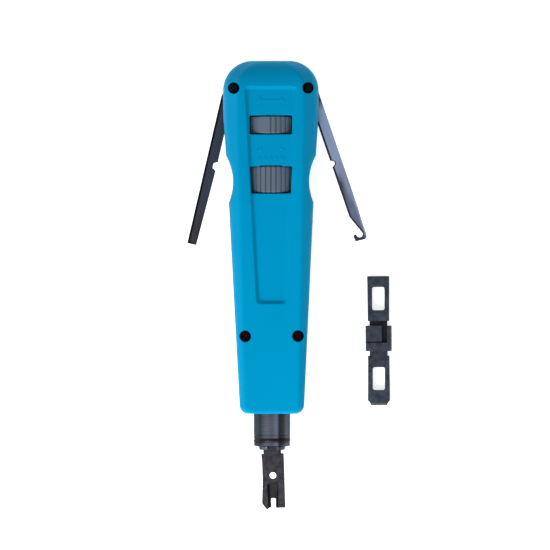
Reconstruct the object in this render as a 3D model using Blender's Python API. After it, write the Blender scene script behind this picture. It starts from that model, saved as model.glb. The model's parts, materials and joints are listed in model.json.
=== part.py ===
"""An impact punch down tool with a fold-out spudger and hook, and its spare blade beside it.

Sizes are in millimetres, and the mesh helpers turn them into metres. The tool lies on its back: X runs
across it, Y along it with the head at +Y, and Z up out of its front. The origin is the centre of the flat
back face. The mechanism's axis is parallel to Y, at the height AXIS_Z, where the two shells meet.
"""

import math

import bmesh
import bpy
from mathutils import Vector

MM = 0.001
GAP = 0.3
SHARP_ANGLE = math.radians(35)

# Handle
AXIS_Z = 12.5
FRONT_DEPTH = 11.5
BACK_DEPTH = 12.5
HANDLE_BOTTOM = -68.5
HANDLE_TOP = 68.3
BOTTOM_HALF_WIDTH = 12.35
MIDDLE_HALF_WIDTH = 14.65
MIDDLE_Y = -23.0
WAIST_HALF_WIDTH = 16.42
WAIST_Y = 13.0
SHOULDER_HALF_WIDTH = 17.5
SHOULDER_Y = 33.0
HEAD_HALF_WIDTH = 18.5
HEAD_Y = 47.0
HEAD_CORNER = 11.4
BOTTOM_CORNER = 3.2
SCALLOP_Y = 22.5
SCALLOP_HALF_LENGTH = 9.1
SCALLOP_DEPTH = 2.15
CROWN_LENGTH = 11.0
CROWN_END = 3.5
CREASE_AT_BOTTOM = 10.4
CREASE_AT_HEAD = 12.85
FACET_SLOPE = 0.85
END_ROUND = 1.2

# Recessed panel with the two wheel windows
PANEL_TOP = 58.5
PANEL_BOTTOM = -26.0
PANEL_TOP_HALF_WIDTH = 10.25
PANEL_BOTTOM_HALF_WIDTH = 5.95
PANEL_DEPTH = 1.3
PANEL_SLOPE = 1.3
RELIEF_HEIGHT = 0.25
FORCE_WINDOW = (39.8, 47.1)
RELEASE_WINDOW = (16.9, 27.7)
WINDOW_HALF_WIDTH = 8.3

# Thumb wheels
WHEEL_RADIUS = 10.7
WHEEL_RIDGES = 32
RIDGE_DEPTH = 0.45
SHAFT_RADIUS = 2.4
SHAFT_BORE = 2.8
PIN_RADIUS = 1.0
PIN_ORBIT = 6.0

# Kicker bar
KICKER_Y = (28.1, 30.7)
KICKER_HALF_WIDTH = 7.6
KICKER_REACH = 11.9
KICKER_TRAVEL = 3.2

# Screws
TOP_SCREW = (14.4, 57.7)
LOW_SCREW = (10.25, -38.4)
SCREW_HEAD_RADIUS = 2.0
SCREW_SHANK_RADIUS = 1.1
SCREW_HOLE_RADIUS = 2.25
SCREW_HEAD_TOP = 20.6
SCREW_HEAD_HEIGHT = 1.8
SCREW_END = 5.0

# Fold-out arms
ARM_THICKNESS = 1.5
ARM_EYE_RADIUS = 3.4
ARM_LENGTH = 62.5
SLOT_HEIGHT = 2.1
SPUDGER_SLOT_INSET = 1.05
HOOK_SLOT_INSET = 1.7
SPUDGER_ANGLE = math.radians(-13.3)
HOOK_ANGLE = math.radians(18.7)
BUSH_RADIUS = 2.35
WASHER_RADIUS = 3.3

# Nose and plunger
BARREL_RADIUS = 7.05
BARREL_BORE = 5.4
NOSE_END = -82.6
GROOVE_Y = (-79.5, -78.2)
GROOVE_RADIUS = 6.0
TUBE_OUTER = 8.35
TUBE_INNER = 7.75
TUBE_BOTTOM = -59.4
TUBE_TOP = 11.0
HAMMER_RADIUS = 7.45
HAMMER_Y = (-32.7, -13.8)
STEM_RADIUS = 2.5
STEM_TOP = -26.1
TRIP_Y = (-25.8, -21.2)
TRIP_TRAVEL = 1.0
SEAT_Y = (8.0, 10.7)

# Blades
BLADE_THICKNESS = 3.2
BLADE_HALF_WIDTH = 4.15
FITTED_LEFT = ((4.3, -4.1), (4.05, -7.6), (4.0, -14.6), (4.4, -22.2), (4.4, -23.2))
FITTED_RIGHT = ((4.62, -25.1), (4.45, -4.1))
SPARE_TIP_HALF_WIDTH = 4.3
NECK_HALF_WIDTH = 3.45
HUB_RADIUS = 5.1
HUB_HALF_THICKNESS = 2.5
FITTED_Y = -80.0
FITTED_TURN = math.radians(1.2)
FITTED_HUB = (-0.5, 9.4)
FITTED_TOP = -4.0
FITTED_END = -25.2
FITTED_INNER_END = 24.4
NECK_LENGTH = 1.8
FORK_CENTRE = 0.0
FORK_HALF_WIDTH = 0.9
FORK_ROOT = -21.3
SPARE_X = 41.57
SPARE_Y = -40.4
SPARE_TURN = math.radians(0.2)
SPARE_HUB = (-4.05, 5.85)
SPARE_END = 25.1


def clear_scene():
    for obj in list(bpy.data.objects):
        bpy.data.objects.remove(obj, do_unlink=True)


def finish(name, colour, roughness, metallic):
    """A plain Principled material."""
    made = bpy.data.materials.new(name)
    made.use_nodes = True
    shader = made.node_tree.nodes["Principled BSDF"]
    shader.inputs["Base Color"].default_value = (*colour, 1.0)
    shader.inputs["Roughness"].default_value = roughness
    shader.inputs["Metallic"].default_value = metallic
    made.diffuse_color = (*colour, 1.0)
    return made


# Mesh helpers

def link(name, bm, material, location):
    """Turns a bmesh in millimetres into a linked object in metres."""
    bmesh.ops.recalc_face_normals(bm, faces=bm.faces)
    bmesh.ops.scale(bm, vec=(MM, MM, MM), verts=bm.verts)
    for face in bm.faces:
        face.smooth = True
    mesh = bpy.data.meshes.new(name)
    bm.to_mesh(mesh)
    bm.free()
    mesh.set_sharp_from_angle(angle=SHARP_ANGLE)
    if material:
        mesh.materials.append(material)
    obj = bpy.data.objects.new(name, mesh)
    obj.location = Vector(location) * MM
    bpy.context.collection.objects.link(obj)
    return obj


def lofted(name, rings, material=None, location=(0, 0, 0)):
    """A closed skin through rings that hold the same number of points."""
    bm = bmesh.new()
    loops = [[bm.verts.new(point) for point in ring] for ring in rings]
    for lower, upper in zip(loops, loops[1:]):
        for i in range(len(lower)):
            j = (i + 1) % len(lower)
            bm.faces.new((lower[i], lower[j], upper[j], upper[i]))
    bm.faces.new(loops[0])
    bm.faces.new(loops[-1])
    return link(name, bm, material, location)


def prism(name, outline, low, high, material=None, location=(0, 0, 0), along="Z"):
    """An outline extruded from low to high: (x, y) points along Z, (x, z) points along Y, (y, z) along X."""
    axis = "XYZ".index(along)

    def lifted(height):
        return [(*p[:axis], height, *p[axis:]) for p in outline]

    return lofted(name, [lifted(low), lifted(high)], material, location)


def box(name, xs, ys, zs, material=None, location=(0, 0, 0)):
    corners = [(xs[0], ys[0]), (xs[1], ys[0]), (xs[1], ys[1]), (xs[0], ys[1])]
    return prism(name, corners, *zs, material, location)


def turned(name, profile, material=None, location=(0, 0, AXIS_Z), steps=40, along="Y"):
    """A closed (radius, height) profile spun round the Y or the Z axis."""
    bm = bmesh.new()
    verts = [bm.verts.new((r, h, 0) if along == "Y" else (r, 0, h)) for r, h in profile]
    edges = [bm.edges.new((a, b)) for a, b in zip(verts, verts[1:] + verts[:1])]
    axis = (0, 1, 0) if along == "Y" else (0, 0, 1)
    bmesh.ops.spin(
        bm, geom=verts + edges, cent=(0, 0, 0), axis=axis, angle=2 * math.pi, steps=steps, use_merge=True
    )
    bmesh.ops.remove_doubles(bm, verts=bm.verts, dist=0.001)
    bmesh.ops.dissolve_degenerate(bm, edges=bm.edges, dist=0.0005)
    return link(name, bm, material, location)


def disc(name, radius, low, high, material=None, location=(0, 0, AXIS_Z), steps=40, along="Y"):
    profile = [(0, low), (radius, low), (radius, high), (0, high)]
    return turned(name, profile, material, location, steps, along)


def sleeve(name, inner, outer, low, high, material=None, location=(0, 0, AXIS_Z), steps=40, along="Y"):
    profile = [(inner, low), (outer, low), (outer, high), (inner, high)]
    return turned(name, profile, material, location, steps, along)


def coil(name, radius, wire, low, high, turns, material, location=(0, 0, AXIS_Z), along="Y"):
    """A round-wire compression spring along the Y or the X axis."""
    curve = bpy.data.curves.new(name, "CURVE")
    curve.dimensions = "3D"
    curve.bevel_depth = wire / 2 * MM
    curve.bevel_resolution = 1
    curve.use_fill_caps = True
    curve.materials.append(material)
    points_per_turn = 12
    count = round(turns * points_per_turn) + 1
    spline = curve.splines.new("POLY")
    spline.points.add(count - 1)
    start = low + wire / 2
    rise = high - low - wire
    for i, point in enumerate(spline.points):
        angle = 2 * math.pi * i / points_per_turn
        across = radius * math.cos(angle)
        up = radius * math.sin(angle)
        height = start + rise * i / (count - 1)
        place = (across, height, up) if along == "Y" else (height, across, up)
        point.co = (*(Vector(place) * MM), 1.0)
    obj = bpy.data.objects.new(name, curve)
    obj.location = Vector(location) * MM
    bpy.context.collection.objects.link(obj)
    return obj


def combine(obj, others, operation):
    """Adds one Boolean for each other object, and keeps those out of the render."""
    for other in others:
        modifier = obj.modifiers.new(other.name, "BOOLEAN")
        modifier.operation = operation
        modifier.object = other
        other.hide_render = True
        other.display_type = "WIRE"
    return obj


def with_operands(obj):
    """The object and every object that its Booleans use, at any depth."""
    yield obj
    for modifier in obj.modifiers:
        yield from with_operands(modifier.object)


def cut(obj, *cutters):
    return combine(obj, cutters, "DIFFERENCE")


def fuse(obj, *additions):
    return combine(obj, additions, "UNION")


def arc(centre, radius, start, end, steps):
    """Points on an arc, with its angles in degrees."""
    angles = [math.radians(start + (end - start) * i / steps) for i in range(steps + 1)]
    return [(centre[0] + radius * math.cos(a), centre[1] + radius * math.sin(a)) for a in angles]


def mirrored(outline, side):
    """The outline as it is for side 1, and mirrored in X for side -1."""
    return [(side * x, y) for x, y in outline]


# Handle shells

def straight_half_width(y):
    """The handle's half width from its straight tapers alone."""
    stops = [
        (HANDLE_BOTTOM, BOTTOM_HALF_WIDTH),
        (MIDDLE_Y, MIDDLE_HALF_WIDTH),
        (WAIST_Y, WAIST_HALF_WIDTH),
        (SHOULDER_Y, SHOULDER_HALF_WIDTH),
        (HEAD_Y, HEAD_HALF_WIDTH),
        (HANDLE_TOP, HEAD_HALF_WIDTH),
    ]
    width = HEAD_HALF_WIDTH
    for (y0, w0), (y1, w1) in zip(stops, stops[1:]):
        if y0 <= y <= y1:
            width = w0 + (w1 - w0) * (y - y0) / (y1 - y0)
            break
    return width


def base_half_width(y):
    """The handle's half width with its rounded corners, before the scallops."""
    width = straight_half_width(y)
    over = y - (HANDLE_TOP - HEAD_CORNER)
    if over > 0:
        width -= HEAD_CORNER - math.sqrt(max(HEAD_CORNER**2 - over**2, 0))
    under = HANDLE_BOTTOM + BOTTOM_CORNER - y
    if under > 0:
        width -= BOTTOM_CORNER - math.sqrt(max(BOTTOM_CORNER**2 - under**2, 0))
    return width


def scallop(y):
    """How far the finger scallop cuts into the side."""
    along = (y - SCALLOP_Y) / SCALLOP_HALF_LENGTH
    return SCALLOP_DEPTH * max(1 - along**2, 0)


def face_height(y, depth):
    """The front or back face's distance from the axis, with the head's crown and the rounded bottom edge."""
    over = y - (HANDLE_TOP - CROWN_LENGTH)
    under = HANDLE_BOTTOM + END_ROUND - y
    if over > 0:
        share = math.sqrt(max(1 - (over / CROWN_LENGTH) ** 2, 0))
        return CROWN_END + (depth - CROWN_END) * share
    if under > 0:
        return depth - END_ROUND + math.sqrt(max(END_ROUND**2 - under**2, 0))
    return depth


def shell_section(y, depth, side):
    """One shell's outline across the handle, from the parting plane round the facets and the face."""
    share = min((y - HANDLE_BOTTOM) / (HEAD_Y - HANDLE_BOTTOM), 1)
    straight_crease = CREASE_AT_BOTTOM + (CREASE_AT_HEAD - CREASE_AT_BOTTOM) * share
    crease = straight_crease + base_half_width(y) - straight_half_width(y)
    width = base_half_width(y) - scallop(y)
    height = face_height(y, depth)
    drop = FACET_SLOPE * (width - crease) * (height - END_ROUND) / (depth - END_ROUND)
    half = [(width, GAP / 2), (width, height - drop), (crease, height)]
    right = [(x, y, AXIS_Z + side * h) for x, h in half]
    left = [(-x, y, z) for x, y, z in reversed(right)]
    return right + left


def handle_stations():
    """The Y places of the shell's sections, close together where the outline bends."""
    bottom = [HANDLE_BOTTOM + BOTTOM_CORNER * (1 - math.cos(math.radians(a))) for a in range(0, 91, 18)]
    waist = [SCALLOP_Y + SCALLOP_HALF_LENGTH * i / 6 for i in range(-6, 7)]
    top = [HANDLE_TOP - HEAD_CORNER + HEAD_CORNER * math.sin(math.radians(a)) for a in range(0, 91, 10)]
    crown_start = HANDLE_TOP - CROWN_LENGTH
    return bottom + [MIDDLE_Y, WAIST_Y] + waist + [SHOULDER_Y, HEAD_Y, crown_start] + top


def core_cutter():
    """The bores along the axis: nose mouth, nose bush, tube, wheel chambers and shaft bearings."""
    chamber = WHEEL_RADIUS + GAP
    steps = [
        (BARREL_RADIUS + 0.4, HANDLE_BOTTOM - 1, HANDLE_BOTTOM + 1.4),
        (9.35, HANDLE_BOTTOM + 1.4, TUBE_BOTTOM - GAP),
        (TUBE_OUTER + 0.15, TUBE_BOTTOM - GAP, TUBE_TOP + 3.6),
        (SHAFT_BORE, TUBE_TOP + 3.6, RELEASE_WINDOW[0]),
        (chamber, *RELEASE_WINDOW),
        (SHAFT_BORE, RELEASE_WINDOW[1], FORCE_WINDOW[0]),
        (chamber, *FORCE_WINDOW),
        (6.3, FORCE_WINDOW[1], 48.3),
        (SHAFT_BORE, 48.3, 51.0),
    ]
    profile = [(0, steps[0][1])]
    for radius, low, high in steps:
        profile += [(radius, low), (radius, high)]
    profile.append((0, steps[-1][2]))
    return turned("core_cutter", profile, steps=48)


def slot_cutter(side, inset):
    """The slot that an arm folds into, open at the side and round the head's corner."""
    x, y = TOP_SCREW
    rim = ARM_EYE_RADIUS + 0.7
    outline = [(24, -6.5), (24, 76), (x + 6, 76)]
    outline += arc((x, y), rim, 150, 180, 4)
    outline += [(x - rim, 53.5), (x - inset, 49.5), (x - inset - 1.6, 6), (9.7, 1), (9.7, -6.5)]
    low, high = AXIS_Z - SLOT_HEIGHT / 2, AXIS_Z + SLOT_HEIGHT / 2
    return prism(f"slot_cutter_{'right' if side > 0 else 'left'}", mirrored(outline, side), low, high)


def kicker_cutters():
    """The pocket that the kicker bar slides in, and the way out for its two ends."""
    pocket_x = KICKER_HALF_WIDTH + KICKER_TRAVEL + GAP
    ys = (RELEASE_WINDOW[1] - 0.1, KICKER_Y[1] + GAP)
    pocket = box("kicker_pocket_cutter", (-pocket_x, pocket_x), ys, (3.5, 17.5))
    ends = box("kicker_end_cutter", (-13.2, 13.2), ys, (AXIS_Z - 1.3, AXIS_Z + 1.3))
    return pocket, ends


def screw_places():
    """The four case screws by the names of their places."""
    for side, across in (("left", -1), ("right", 1)):
        for level, (x, y) in (("top", TOP_SCREW), ("low", LOW_SCREW)):
            yield f"{side}_{level}", across * x, y


def panel_cutter():
    """The sunk panel's tapered pan, with sloping walls."""
    face = AXIS_Z + FRONT_DEPTH
    floor = face - PANEL_DEPTH

    def ring(inset, z):
        top = PANEL_TOP_HALF_WIDTH - inset
        low = PANEL_BOTTOM_HALF_WIDTH - inset
        bottom_y, top_y = PANEL_BOTTOM + inset, PANEL_TOP - inset
        return [(-low, bottom_y, z), (low, bottom_y, z), (top, top_y, z), (-top, top_y, z)]

    over = 0.5
    widening = over * PANEL_SLOPE / PANEL_DEPTH
    return lofted("panel_cutter", [ring(PANEL_SLOPE, floor), ring(-widening, face + over)])


def relief_marks():
    """Raised marks on the panel: a two-way arrow above the upper wheel, and two rows above the lower."""
    floor = AXIS_Z + FRONT_DEPTH - PANEL_DEPTH
    z = (floor - 0.4, floor + RELIEF_HEIGHT)
    arrow = [(-4.6, 52.6), (-3.0, 54.0), (-3.0, 53.1), (3.0, 53.1), (3.0, 54.0), (4.6, 52.6)]
    arrow += [(3.0, 51.2), (3.0, 52.1), (-3.0, 52.1), (-3.0, 51.2)]
    yield prism("force_mark", arrow, *z)
    for side in (-1, 1):
        outline = mirrored([(2.0, 34.9), (2.0, 32.5), (4.8, 33.7)], side)
        yield prism(f"release_mark_{side}", outline, *z)
    for i in range(5):
        x = -3.2 + 1.6 * i
        yield box(f"release_bar_{i}", (x - 0.4, x + 0.4), (29.9, 31.5), z)


def make_shells(plastic):
    """The two halves of the handle."""
    stations = sorted(set(round(y, 4) for y in handle_stations()))
    shells = []
    for name, depth, side in (("rear_shell", BACK_DEPTH, -1), ("front_shell", FRONT_DEPTH, 1)):
        shells.append(lofted(name, [shell_section(y, depth, side) for y in stations], plastic))
    rear, front = shells
    cut(front, panel_cutter())
    fuse(front, *relief_marks())
    slots = slot_cutter(1, HOOK_SLOT_INSET), slot_cutter(-1, SPUDGER_SLOT_INSET)
    shared = [core_cutter(), *slots, *kicker_cutters()]
    for place, x, y in screw_places():
        shank = SCREW_SHANK_RADIUS + 0.15
        shared.append(
            disc(f"shank_cutter_{place}", shank, SCREW_END - 1, 22.0, None, (x, y, 0), 20, "Z")
        )
    for shell in shells:
        cut(shell, *shared)
    for place, x, y in screw_places():
        low = SCREW_HEAD_TOP - SCREW_HEAD_HEIGHT - 0.1
        cut(front, disc(f"head_cutter_{place}", SCREW_HOLE_RADIUS, low, 26, None, (x, y, 0), 28, "Z"))
    for side in (-1, 1):
        x, y = side * TOP_SCREW[0], TOP_SCREW[1]
        pocket_low = AXIS_Z + SLOT_HEIGHT / 2 - 0.2
        pocket = disc(f"washer_cutter_{side}", 3.7, pocket_low, pocket_low + 1.1, None, (x, y, 0), 32, "Z")
        cut(front, pocket)
    for name, ys in (("force_window_cutter", FORCE_WINDOW), ("release_window_cutter", RELEASE_WINDOW)):
        cut(front, box(name, (-WINDOW_HALF_WIDTH, WINDOW_HALF_WIDTH), ys, (AXIS_Z + 2, 26)))


def make_screws(steel):
    """Four pan-head case screws with a cross recess."""
    under = SCREW_HEAD_TOP - SCREW_HEAD_HEIGHT
    for place, x, y in screw_places():
        profile = [
            (0, SCREW_END),
            (0.5, SCREW_END),
            (SCREW_SHANK_RADIUS, SCREW_END + 1.2),
            (SCREW_SHANK_RADIUS, under),
            (SCREW_HEAD_RADIUS, under),
            (SCREW_HEAD_RADIUS, under + 1.1),
            (1.3, SCREW_HEAD_TOP),
            (0, SCREW_HEAD_TOP),
        ]
        screw = turned(f"case_screw_{place}", profile, steel, (x, y, 0), 20, "Z")
        for turn in (0, 1):
            reach = (1.15, 0.22) if turn else (0.22, 1.15)
            name = f"recess_cutter_{place}_{turn}"
            depths = (SCREW_HEAD_TOP - 0.8, SCREW_HEAD_TOP + 0.6)
            recess = box(name, (-reach[0], reach[0]), (-reach[1], reach[1]), depths, None, (x, y, 0))
            cut(screw, recess)


# Fold-out arms

def spudger_outline():
    """A flat bar with a square tip and a nick on its inner edge. Its outer edge is at -X."""
    outer, inner, tip_inner = -3.95, 0.5, -0.35
    nick_top, nick_low, nick_depth = -29.2, -32.7, 1.5
    outline = [(-3.3, -1), (outer, -4), (outer, -ARM_LENGTH), (tip_inner, -ARM_LENGTH), (0.35, -36)]
    outline += [(inner - 0.1, nick_low), (inner - nick_depth, nick_low + 0.8)]
    outline += [(inner - nick_depth, nick_top - 0.8), (inner, nick_top), (inner, -4.5), (1.8, -1)]
    return outline


def hook_outline():
    """A flat bar that narrows to a small hook turned back towards the handle. Its outer edge is at +X."""
    outer, inner = 3.4, -0.95
    nick_top, nick_low, nick_depth = -29.4, -32.1, 1.4
    outline = [(-2.2, -1), (inner, -4.5), (inner, nick_top), (inner + nick_depth, nick_top - 0.8)]
    outline += [(inner + nick_depth, nick_low + 0.8), (inner, nick_low), (inner, -52.5), (1.75, -59.7)]
    outline += arc((0.62, -60.1), 1.2, 18, -156, 8)
    outline += [(-0.75, -59.8), (-1.2, -59.5), (-1.9, -59.95), (-1.75, -62.25), (2.1, -62.6)]
    outline += [(2.85, -62.0), (3.15, -61.2), (3.15, -55), (outer, -50), (outer, -1)]
    return outline


def make_arm(name, outline, side, angle, steel):
    """An arm about its pivot, with a round eye for the bush."""
    x, y = TOP_SCREW
    place = (side * x, y, AXIS_Z)
    low, high = -ARM_THICKNESS / 2, ARM_THICKNESS / 2
    arm = prism(name, outline, low, high, steel, place)
    eye = disc(f"{name}_eye", ARM_EYE_RADIUS, low, high, None, place, 32, "Z")
    bore = disc(f"{name}_bore_cutter", BUSH_RADIUS + GAP, low - 1, high + 1, None, place, 32, "Z")
    fuse(arm, eye)
    cut(arm, bore)
    arm.rotation_euler.z = angle


def make_pivots(steel, brass):
    """The bush that each arm turns on, and the spring washer that gives it friction."""
    bore = SCREW_SHANK_RADIUS + 0.25
    washer_low = AXIS_Z + ARM_THICKNESS / 2 + 0.25
    for name, side in (("left", -1), ("right", 1)):
        place = (side * TOP_SCREW[0], TOP_SCREW[1], 0)
        low, high = AXIS_Z - ARM_THICKNESS / 2, AXIS_Z + ARM_THICKNESS / 2
        sleeve(f"pivot_bush_{name}", bore, BUSH_RADIUS, low, high, brass, place, 28, "Z")
        cone = [(1.9, washer_low), (WASHER_RADIUS, washer_low + 0.3)]
        cone += [(WASHER_RADIUS, washer_low + 0.6), (1.9, washer_low + 0.3)]
        turned(f"spring_washer_{name}", cone, steel, place, 28, "Z")


# Nose, plunger and impact mechanism

def make_tube(steel):
    """The fixed tube that the hammer runs in, its cap, and the bush at the handle's mouth."""
    tube = sleeve("mechanism_tube", TUBE_INNER, TUBE_OUTER, TUBE_BOTTOM, TUBE_TOP, steel)
    cut(tube, box("key_slot_cutter", (-1.2, 1.2), (4.0, TUBE_TOP + 1), (AXIS_Z - 9, AXIS_Z - 6)))
    sleeve("tube_cap", SHAFT_BORE, TUBE_OUTER, TUBE_TOP + GAP, TUBE_TOP + 3.3, steel)


def make_nose(bush_metal, steel, dark_steel):
    """The pieces that slide in and out with the blade."""
    flange = (TUBE_BOTTOM - 0.2, TUBE_BOTTOM + 2.8)
    bush_top = TUBE_BOTTOM - GAP - 0.2
    sleeve("nose_bush", BARREL_RADIUS + 0.15, 9.2, HANDLE_BOTTOM + 1.7, bush_top, bush_metal)
    barrel_top, bore_top, spigot_top = -47.0, -53.5, -51.0
    profile = [
        (BARREL_BORE, -80.7),
        (GROOVE_RADIUS, -80.7),
        (GROOVE_RADIUS, GROOVE_Y[1]),
        (BARREL_RADIUS - 0.3, GROOVE_Y[1]),
        (BARREL_RADIUS, GROOVE_Y[1] + 0.3),
        (BARREL_RADIUS, flange[0]),
        (7.6, flange[0]),
        (7.6, flange[1]),
        (BARREL_RADIUS, flange[1]),
        (BARREL_RADIUS, barrel_top),
        (2.7, barrel_top),
        (2.7, spigot_top),
        (0, spigot_top),
        (0, bore_top),
        (BARREL_BORE, bore_top),
    ]
    turned("nose_barrel", profile, dark_steel)
    ring = arc((6.75, 0), 0.42, 0, 300, 5)
    ring_object = turned("nose_ring", ring, steel, (0, sum(GROOVE_Y) / 2, AXIS_Z), 32)
    ring_object.rotation_euler.z = math.radians(-1.2)
    collar = [
        (6.15, GROOVE_Y[0] - 0.15),
        (BARREL_RADIUS - 0.1, GROOVE_Y[0] - 0.15),
        (BARREL_RADIUS - 0.1, -80.8),
        (6.6, -81.1),
        (5.3, -81.3),
        (4.7, NOSE_END),
        (4.15, NOSE_END),
        (4.15, -80.95),
        (6.15, -80.95),
    ]
    collar_object = turned("nose_collar", collar, dark_steel)
    slot = box("collar_slot_cutter", (-1.95, 1.95), (-84, -80.95), (AXIS_Z - 5.4, AXIS_Z + 5.4))
    cut(collar_object, slot)


def make_stem(steel, spring_steel):
    """The rod that lifts the hammer, and the spring between the two."""
    shoulder = -44.9
    profile = [(0, -50.7), (2.4, -50.7), (2.4, -46.7), (6.4, -46.7), (6.4, shoulder)]
    profile += [(STEM_RADIUS, shoulder), (STEM_RADIUS, STEM_TOP - 0.5)]
    profile += [(STEM_RADIUS - 0.5, STEM_TOP), (0, STEM_TOP)]
    turned("plunger_stem", profile, steel, steps=32)
    coil("return_spring", 4.4, 0.9, shoulder + 0.2, HAMMER_Y[0] - 0.2, 5, spring_steel)


def make_hammer(steel, hard_steel, spring_steel):
    """The hammer, with the sideways trip block that holds it up on the stem."""
    low, high = HAMMER_Y
    profile = [(2.85, low), (HAMMER_RADIUS, low), (HAMMER_RADIUS, high), (4.2, high), (4.2, high + 2.8)]
    profile += [(0, high + 2.8), (0, high - 2.5), (2.85, high - 2.5)]
    hammer = turned("hammer", profile, steel)
    pocket = (TRIP_Y[0] - GAP, TRIP_Y[1] + GAP)
    cut(hammer, box("trip_pocket_cutter", (-6.2, 9), pocket, (AXIS_Z - 3.2, AXIS_Z + 3.2)))
    outline = [(-3.4, -2.9), (6.6, -2.9), (7.1, -2.2), (7.1, 2.2), (6.6, 2.9), (-3.4, 2.9)]
    block = prism("trip_block", outline, *TRIP_Y, hard_steel, (0, 0, AXIS_Z), "Y")
    through = (TRIP_Y[0] - 1, TRIP_Y[1] + 1)
    cut(block, disc("trip_bore_cutter", STEM_RADIUS + GAP, *through, None, (TRIP_TRAVEL, 0, AXIS_Z), 28))
    place = (0, sum(TRIP_Y) / 2, AXIS_Z)
    coil("trip_spring", 1.5, 0.4, -5.95, -3.65, 3, spring_steel, place, "X")


def make_force_adjuster(steel, wheel_plastic, spring_steel, washer_steel):
    """The impact spring, the keyed seat that sets its load, and the thumb wheel on its screw."""
    low, high = SEAT_Y
    coil("impact_spring", 5.45, 1.5, HAMMER_Y[1] + 0.25, low - 0.25, 5.5, spring_steel)
    bore = SHAFT_RADIUS + 0.25
    profile = [(bore, low - 2.5), (4.2, low - 2.5), (4.2, low), (HAMMER_RADIUS, low), (HAMMER_RADIUS, high)]
    seat = turned("spring_seat", profile + [(bore, high)], steel)
    fuse(seat, box("seat_key", (-0.9, 0.9), (low, high), (AXIS_Z - 8.15, AXIS_Z - 6)))
    ys = (FORCE_WINDOW[0] + GAP, FORCE_WINDOW[1] - GAP)
    wheel = ridged_wheel("force_wheel", *ys, wheel_plastic)
    fuse(wheel, disc("force_wheel_hub", 4.5, ys[1] - 0.5, ys[1] + 0.3))
    fuse(wheel, disc("force_screw", SHAFT_RADIUS, 4.2, 50.6, None, (0, 0, AXIS_Z), 28))
    sleeve("thrust_washer", SHAFT_RADIUS + 0.25, 6.0, 47.4, 48.0, washer_steel, steps=40)


def ridged_wheel(name, low, high, material):
    """A thumb wheel with straight ridges, and a groove between two of them at the top."""
    outline = []
    for i in range(WHEEL_RIDGES * 4):
        angle = 2 * math.pi * (i - 0.5) / (WHEEL_RIDGES * 4)
        radius = WHEEL_RADIUS - (RIDGE_DEPTH, RIDGE_DEPTH, 0, 0)[i % 4]
        outline.append((radius * math.sin(angle), radius * math.cos(angle)))
    return prism(name, outline, low, high, material, (0, 0, AXIS_Z), "Y")


def make_release(wheel_plastic, plastic):
    """The lower thumb wheel, and the bar that its pin pushes to either side to kick out an arm."""
    ys = (RELEASE_WINDOW[0] + GAP, RELEASE_WINDOW[1] - GAP)
    wheel = ridged_wheel("release_wheel", *ys, wheel_plastic)
    fuse(wheel, disc("release_pin", PIN_RADIUS, ys[1] - 2, 30.5, None, (0, 0, AXIS_Z - PIN_ORBIT), 20))
    cut(wheel, disc("release_bore_cutter", SHAFT_RADIUS + 0.35, 10, 32, None, (0, 0, AXIS_Z), 28))
    frame_z = (-8.6, 4.5)
    end_z = (-0.85, 0.85)
    outline = [(-KICKER_HALF_WIDTH, frame_z[0]), (KICKER_HALF_WIDTH, frame_z[0])]
    outline += [(KICKER_HALF_WIDTH, end_z[0]), (KICKER_REACH, end_z[0]), (KICKER_REACH, end_z[1])]
    outline += [(KICKER_HALF_WIDTH, end_z[1]), (KICKER_HALF_WIDTH, frame_z[1])]
    outline += [(-x, z) for x, z in reversed(outline[2:])]
    bar = prism("kicker_bar", outline, *KICKER_Y, plastic, (0, 0, AXIS_Z), "Y")
    ys = (KICKER_Y[0] - 1, KICKER_Y[1] + 1)
    cut(bar, box("shaft_slot_cutter", (-6.0, 6.0), ys, (AXIS_Z - 2.8, AXIS_Z + 2.8)))
    cut(bar, box("pin_slot_cutter", (-1.4, 1.4), ys, (AXIS_Z - 7.5, AXIS_Z - 3.5)))


# Blades

def hub(name, low, high, material, location):
    """The round hub with two flats that turns into the nose."""
    made = disc(name, HUB_RADIUS, low, high, material, location, 40)
    x, y, z = location
    for side in (-1, 1):
        zs = sorted((side * HUB_HALF_THICKNESS, side * (HUB_RADIUS + 1)))
        cut(made, box(f"{name}_flat_cutter_{side}", (-7, 7), (low - 1, high + 1), zs, None, location))
    return made


def half_blade(name, near, far, tip, location, window=None):
    """One flat half of a blade, from its neck at near to the end whose outline is tip."""
    half = BLADE_THICKNESS / 2
    step = NECK_LENGTH if far < near else -NECK_LENGTH
    outline = [(-NECK_HALF_WIDTH, near + step), (-NECK_HALF_WIDTH, near), (-BLADE_HALF_WIDTH, near)]
    outline += tip
    outline += [(BLADE_HALF_WIDTH, near), (NECK_HALF_WIDTH, near), (NECK_HALF_WIDTH, near + step)]
    made = prism(name, outline, -half, half, None, location)
    if window:
        cut(made, prism(f"{name}_window_cutter", window, -4, 4, None, location))
    return made


def rounded_window(x_half, low, high, radius):
    outline = []
    for centre, start in (
        ((x_half - radius, high - radius), 0),
        ((-x_half + radius, high - radius), 90),
        ((-x_half + radius, low + radius), 180),
        ((x_half - radius, low + radius), 270),
    ):
        outline += arc(centre, radius, start, start + 90, 3)
    return outline


def fork_tip():
    """The outline of the fitted blade's forked end, with the cutter's point on its left tine."""
    left, right = FORK_CENTRE - FORK_HALF_WIDTH, FORK_CENTRE + FORK_HALF_WIDTH
    corner = 0.5
    tip = [(-x, y) for x, y in FITTED_LEFT]
    tip += [(-3.8, -24.2), (-2.6, FITTED_END - 0.5), (-1.6, FITTED_END + 0.2), (left, FITTED_END + 0.2)]
    tip += arc((left + corner, FORK_ROOT - corner), corner, 180, 90, 3)
    tip += arc((right - corner, FORK_ROOT - corner), corner, 90, 0, 3)
    tip += [(right, FITTED_END + 0.1), *FITTED_RIGHT]
    return tip


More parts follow.
